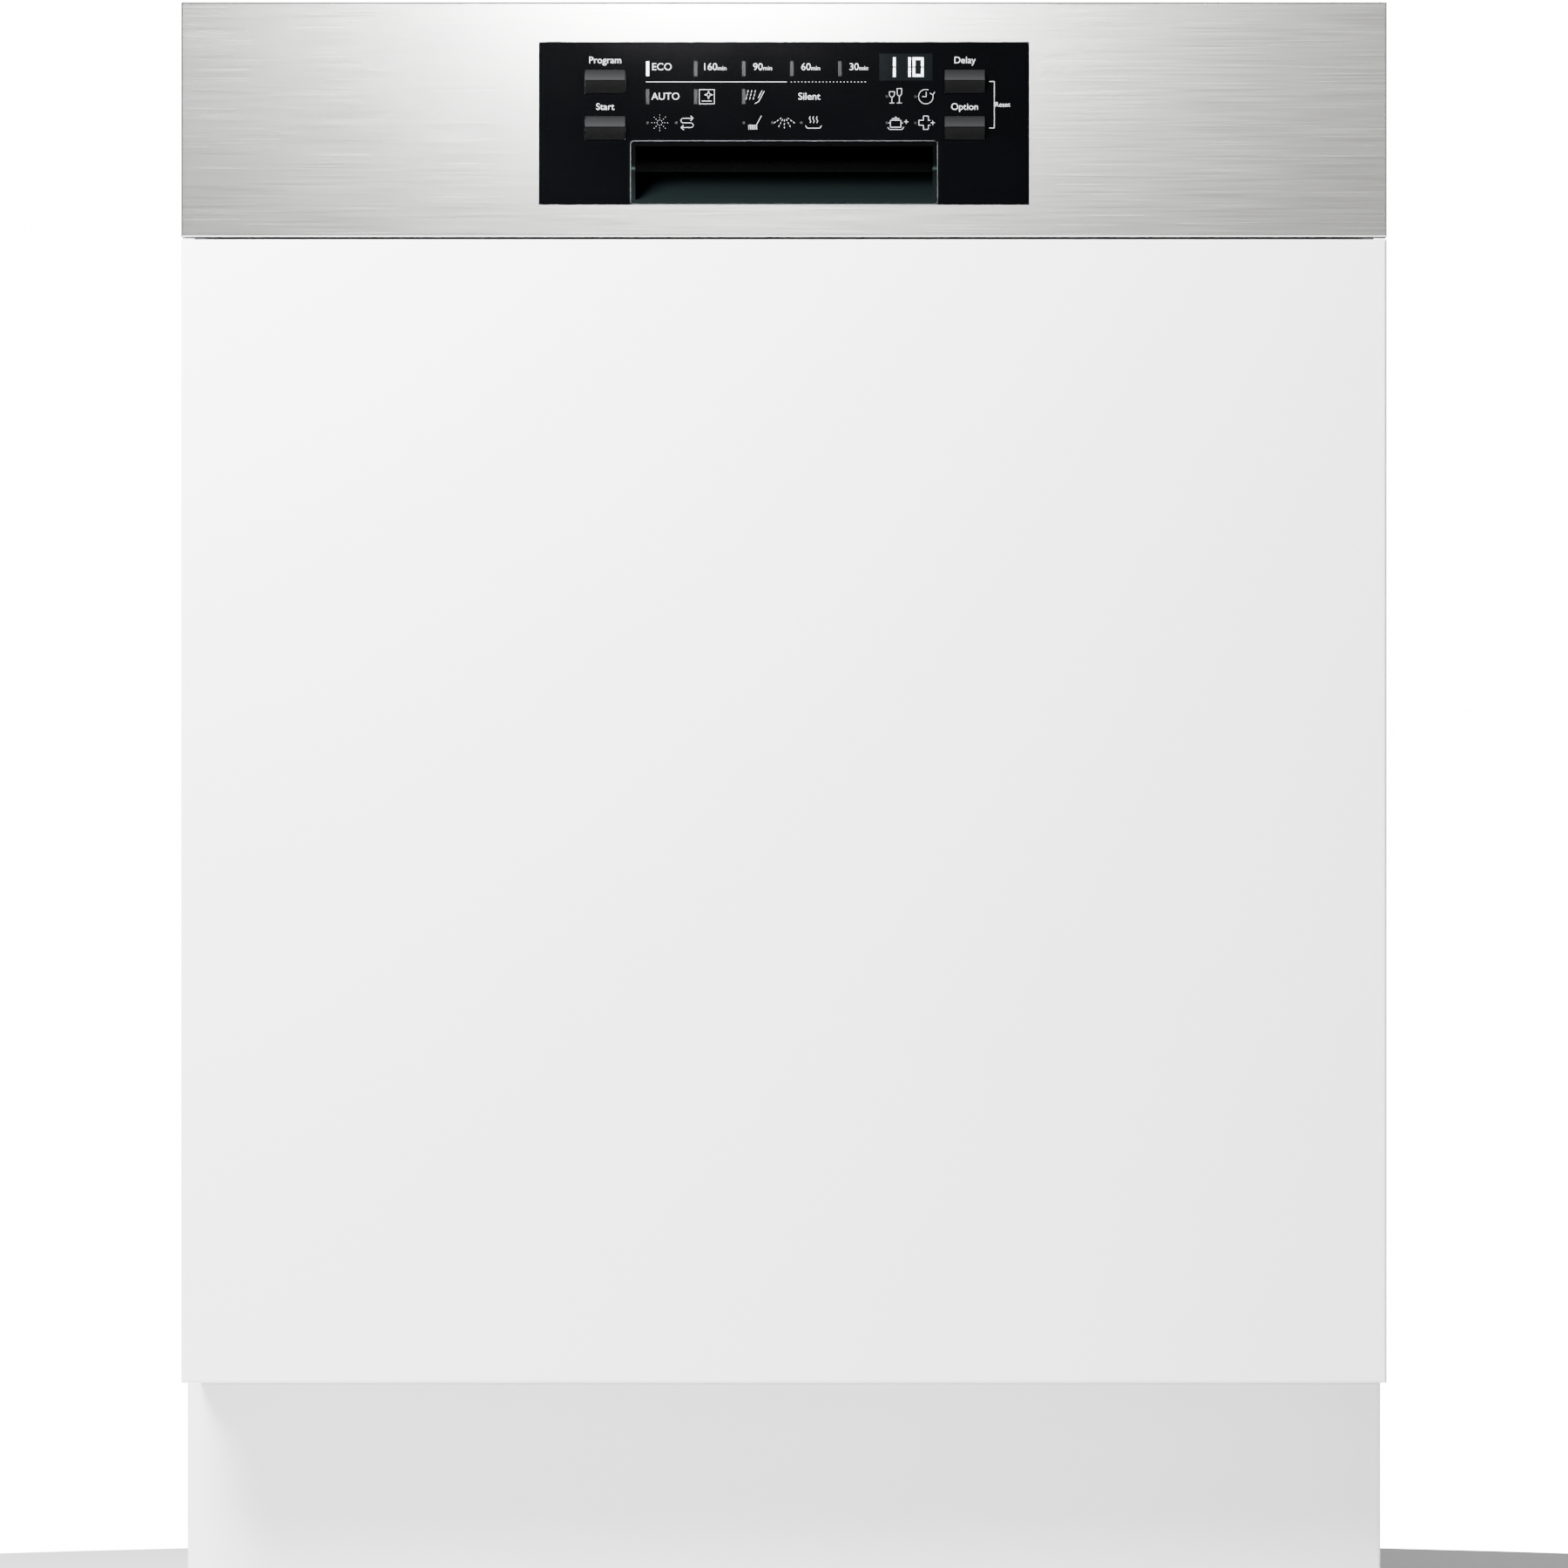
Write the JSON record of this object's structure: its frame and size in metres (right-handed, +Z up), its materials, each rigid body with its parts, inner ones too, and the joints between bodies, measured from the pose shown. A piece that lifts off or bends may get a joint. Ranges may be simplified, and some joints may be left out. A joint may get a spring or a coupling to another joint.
{
  "type": "built-in dishwasher",
  "caption": "Built-in 60 cm dishwasher with a white door panel, brushed steel fascia, black touch insert with grip pocket, and a fitted tub with racks",
  "frame": {"origin": "on the floor, in the middle of the bounding box of the closed machine", "axes": "+Z up; the front with the door faces -Y; +X is to the right of a person facing the door"},
  "size_m": [0.596, 0.575, 0.818],
  "materials": {
    "stainless": "satin",
    "brushed_fascia": "brushed along the width",
    "white_panel": "white satin lacquer on board",
    "galvanised": "zinc coated",
    "spring_steel": "oiled",
    "base_plastic": "fine grain",
    "grey_plastic": "smooth",
    "blue_cap": "smooth",
    "motor_black": "satin",
    "gasket_rubber": "matt",
    "bitumen_mat": "felted",
    "coated_wire": "nylon coated",
    "gloss_black": "high gloss",
    "display_glass": "high gloss",
    "lens_white": "clear",
    "board_green": "solder mask",
    "button_metal": "satin chrome",
    "latch_plastic": "smooth"
  },
  "bodies": {
    "cabinet": {"base_tray": "base_plastic", "plinth": "white_panel", "sump_housing": "grey_plastic", "circulation_pump": "motor_black", "drain_pump": "motor_black", "inlet_valve": "base_plastic", "hose_outlet_block": "base_plastic", "softener_tank": "grey_plastic", "tub_wrapper": "stainless", "tub_rear_wall": "stainless", "tub_floor": "stainless", "tub_front_frame": "base_plastic", "door_gasket": "gasket_rubber", "insulation_mats": "bitumen_mat", "left_side_panel": "galvanised", "right_side_panel": "galvanised", "worktop_brackets": "galvanised", "water_feed_duct": "grey_plastic", "flat_filter": "stainless", "hinge_brackets": "galvanised", "door_springs": "spring_steel", "upper_outer_rails": "galvanised", "lock_strike": "galvanised"},
    "door": {"inner_door": "stainless", "outer_door": "galvanised", "furniture_panel": "white_panel", "fascia": "brushed_fascia", "console_housing": "grey_plastic", "control_insert": "gloss_black", "handle_pocket": "gloss_black", "display_window": "display_glass", "indicator_lenses": "lens_white", "control_board": "board_green", "dispenser_body": "grey_plastic", "hinge_arms": "galvanised"},
    "foot_front_left": {"front_foot_left": "base_plastic"},
    "foot_front_right": {"front_foot_right": "base_plastic"},
    "foot_rear": {"rear_foot": "base_plastic"},
    "softener_cap": {"salt_cap": "grey_plastic"},
    "filter": {"filter_cylinder": "grey_plastic"},
    "lower_arm": {"lower_spray_arm": "grey_plastic"},
    "rail_slides": {"upper_rail_slides": "galvanised"},
    "upper_basket": {"upper_rack": "coated_wire", "upper_feed_tube": "grey_plastic"},
    "upper_arm": {"upper_spray_arm": "grey_plastic"},
    "cup_shelf_l": {"cup_shelf_left": "grey_plastic"},
    "cup_shelf_r": {"cup_shelf_right": "grey_plastic"},
    "lower_basket": {"lower_rack": "coated_wire", "cutlery_basket": "grey_plastic"},
    "tines_l": {"folding_tines_left": "coated_wire"},
    "tines_r": {"folding_tines_right": "coated_wire"},
    "wheels_front": {"front_wheels": "grey_plastic"},
    "wheels_rear": {"rear_wheels": "grey_plastic"},
    "lid": {"detergent_lid": "grey_plastic"},
    "rinse_cap": {"rinse_aid_cap": "blue_cap"},
    "latch": {"latch_hook": "latch_plastic"},
    "button_program": {"program_button": "button_metal"},
    "button_start": {"start_button": "button_metal"},
    "button_delay": {"delay_button": "button_metal"},
    "button_option": {"option_button": "button_metal"}
  },
  "joints": [
    {"name": "door_swing", "type": "hinge", "parent": "cabinet", "child": "door", "pos_m": [0, -0.253, 0.16], "axis": [1, 0, 0], "range_deg": [0, 90], "deforming": ["door_springs"]},
    {"name": "upper_rack_slide", "type": "slide", "parent": "cabinet", "child": "upper_basket", "axis": [0, -1, 0], "range_m": [0, 0.42]},
    {"name": "rail_slide", "type": "slide", "parent": "cabinet", "child": "rail_slides", "axis": [0, -1, 0], "range_m": [0, 0.21]},
    {"name": "lower_rack_slide", "type": "slide", "parent": "cabinet", "child": "lower_basket", "axis": [0, -1, 0], "range_m": [0, 0.15]},
    {"name": "front_wheel_roll", "type": "hinge", "parent": "lower_basket", "child": "wheels_front", "pos_m": [0.2495, -0.118, 0.2202], "axis": [1, 0, 0], "range_deg": [0, 537.15]},
    {"name": "rear_wheel_roll", "type": "hinge", "parent": "lower_basket", "child": "wheels_rear", "pos_m": [0.2495, 0.15, 0.2202], "axis": [1, 0, 0], "range_deg": [0, 537.15]},
    {"name": "lower_arm_spin", "type": "hinge", "parent": "cabinet", "child": "lower_arm", "pos_m": [0, 0.023, 0.214], "axis": [0, 0, 1], "continuous": true},
    {"name": "upper_arm_spin", "type": "hinge", "parent": "upper_basket", "child": "upper_arm", "pos_m": [0, 0.023, 0.434], "axis": [0, 0, 1], "continuous": true},
    {"name": "tines_left_fold", "type": "hinge", "parent": "lower_basket", "child": "tines_l", "pos_m": [-0.19, 0, 0.247], "axis": [0, 1, 0], "range_deg": [0, 88]},
    {"name": "tines_right_fold", "type": "hinge", "parent": "lower_basket", "child": "tines_r", "pos_m": [-0.095, 0, 0.247], "axis": [0, 1, 0], "range_deg": [0, 88]},
    {"name": "cup_shelf_left_fold", "type": "hinge", "parent": "upper_basket", "child": "cup_shelf_l", "pos_m": [-0.222, 0.02, 0.548], "axis": [0, -1, 0], "range_deg": [0, 86]},
    {"name": "cup_shelf_right_fold", "type": "hinge", "parent": "upper_basket", "child": "cup_shelf_r", "pos_m": [0.222, 0.02, 0.548], "axis": [0, 1, 0], "range_deg": [0, 86]},
    {"name": "salt_cap_turn", "type": "hinge", "parent": "cabinet", "child": "softener_cap", "pos_m": [-0.17, -0.075, 0.19], "axis": [0, 0, 1], "range_deg": [0, 90]},
    {"name": "filter_twist", "type": "hinge", "parent": "cabinet", "child": "filter", "pos_m": [0, -0.058, 0.18], "axis": [0, 0, 1], "range_deg": [0, 90]},
    {"name": "lid_slide", "type": "slide", "parent": "door", "child": "lid", "axis": [1, 0, 0], "range_m": [0, 0.06]},
    {"name": "rinse_cap_turn", "type": "hinge", "parent": "door", "child": "rinse_cap", "pos_m": [0.045, -0.21, 0.518], "axis": [0, -1, 0], "range_deg": [0, 90]},
    {"name": "latch_lift", "type": "hinge", "parent": "door", "child": "latch", "pos_m": [0, -0.258, 0.806], "axis": [1, 0, 0], "range_deg": [0, 6], "stiffness_Nm_per_rad": 0.5},
    {"name": "program_press", "type": "slide", "parent": "door", "child": "button_program", "axis": [0, 1, 0], "range_m": [0, 0.0015], "stiffness_N_per_m": 400},
    {"name": "start_press", "type": "slide", "parent": "door", "child": "button_start", "axis": [0, 1, 0], "range_m": [0, 0.0015], "stiffness_N_per_m": 400},
    {"name": "delay_press", "type": "slide", "parent": "door", "child": "button_delay", "axis": [0, 1, 0], "range_m": [0, 0.0015], "stiffness_N_per_m": 400},
    {"name": "option_press", "type": "slide", "parent": "door", "child": "button_option", "axis": [0, 1, 0], "range_m": [0, 0.0015], "stiffness_N_per_m": 400},
    {"name": "foot_front_left_screw", "type": "slide", "parent": "cabinet", "child": "foot_front_left", "axis": [0, 0, -1], "range_m": [0, 0.06]},
    {"name": "foot_front_right_screw", "type": "slide", "parent": "cabinet", "child": "foot_front_right", "axis": [0, 0, -1], "range_m": [0, 0.06]},
    {"name": "foot_rear_screw", "type": "slide", "parent": "cabinet", "child": "foot_rear", "axis": [0, 0, -1], "range_m": [0, 0.06]}
  ],
  "couplings": [
    {"joint": "upper_rack_slide", "follows": "door_swing", "m_per_rad": 0.26738},
    {"joint": "rail_slide", "follows": "door_swing", "m_per_rad": 0.13369},
    {"joint": "lower_rack_slide", "follows": "door_swing", "m_per_rad": 0.095493},
    {"joint": "front_wheel_roll", "follows": "door_swing", "ratio": 5.9683},
    {"joint": "rear_wheel_roll", "follows": "door_swing", "ratio": 5.9683}
  ]
}
